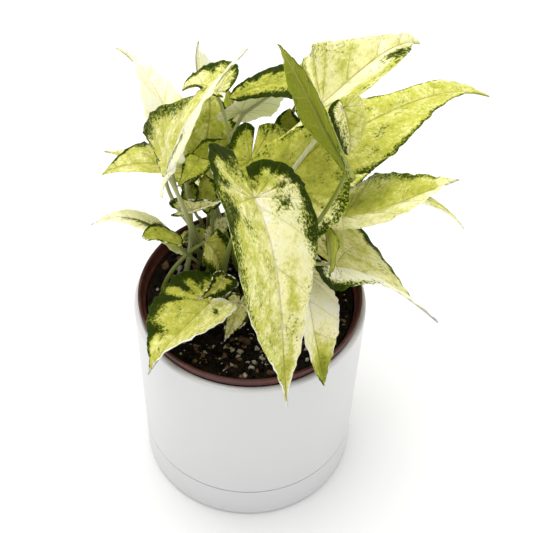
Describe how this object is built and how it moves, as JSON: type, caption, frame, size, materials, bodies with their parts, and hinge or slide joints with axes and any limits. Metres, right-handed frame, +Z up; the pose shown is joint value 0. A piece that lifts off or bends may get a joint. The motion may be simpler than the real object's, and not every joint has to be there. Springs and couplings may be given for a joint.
{
  "type": "potted syngonium",
  "caption": "Variegated arrowhead-leaved house plant growing in soil in a plastic nursery pot, inside a plain white ceramic cover pot with a flush saucer.",
  "frame": {"origin": "centre of the saucer's flat underside, on the pot's axis, on the surface it stands on", "axes": "+Z up along the pot's axis; -Y towards the front, where the longest leaf hangs over the rim; +X to the right seen from the front"},
  "size_m": [0.2304, 0.2284, 0.2982],
  "materials": {
    "white_ceramic": "white satin glaze",
    "brown_plastic": "satin moulded red-brown plastic",
    "potting_soil": null,
    "leaf_cream": "cream leaf with a soft sheen; matte plastic stands for leaf tissue",
    "leaf_pale": "pale green leaf with a soft sheen",
    "leaf_green": "green leaf with cream variegation and a soft sheen",
    "leaf_olive": "olive leaf with a soft sheen",
    "leaf_dark": "dark green leaf with a soft sheen"
  },
  "bodies": {
    "root": {"saucer": "white_ceramic", "cover_pot": "white_ceramic", "grow_pot": "brown_plastic", "soil": "potting_soil", "leaf_front_long": "leaf_green", "leaf_front_right": "leaf_cream", "leaf_right_droop": "leaf_pale", "leaf_right_mid": "leaf_pale", "leaf_right_low": "leaf_pale", "leaf_right_upper": "leaf_green", "leaf_folded_strip": "leaf_green", "leaf_top_right": "leaf_cream", "leaf_young_round": "leaf_cream", "leaf_center_right": "leaf_olive", "leaf_center_back": "leaf_green", "leaf_dark_back": "leaf_dark", "leaf_pale_back": "leaf_cream", "leaf_arched": "leaf_dark", "leaf_top_left_pale": "leaf_cream", "leaf_top_small": "leaf_cream", "leaf_top_left_green": "leaf_green", "leaf_left_big": "leaf_pale", "leaf_left_out": "leaf_pale", "leaf_left_tip": "leaf_cream", "leaf_olive_mid": "leaf_olive", "leaf_olive_low": "leaf_olive", "leaf_amber_back": "leaf_olive", "leaf_curl_small": "leaf_cream", "leaf_mid_green": "leaf_dark", "leaf_mid_dark": "leaf_dark", "leaf_folded_small": "leaf_pale", "leaf_left_low_long": "leaf_cream", "leaf_left_low_small": "leaf_green", "leaf_left_low_round": "leaf_green", "leaf_cup_round": "leaf_dark", "leaf_cream_curl": "leaf_cream", "leaf_small_dark": "leaf_dark", "leaf_lower_left": "leaf_green", "leaf_small_front": "leaf_pale", "leaf_curl_right": "leaf_green", "leaf_rear_mid": "leaf_green", "leaf_rear_right": "leaf_green", "leaf_rear_left": "leaf_green"}
  },
  "joints": []
}
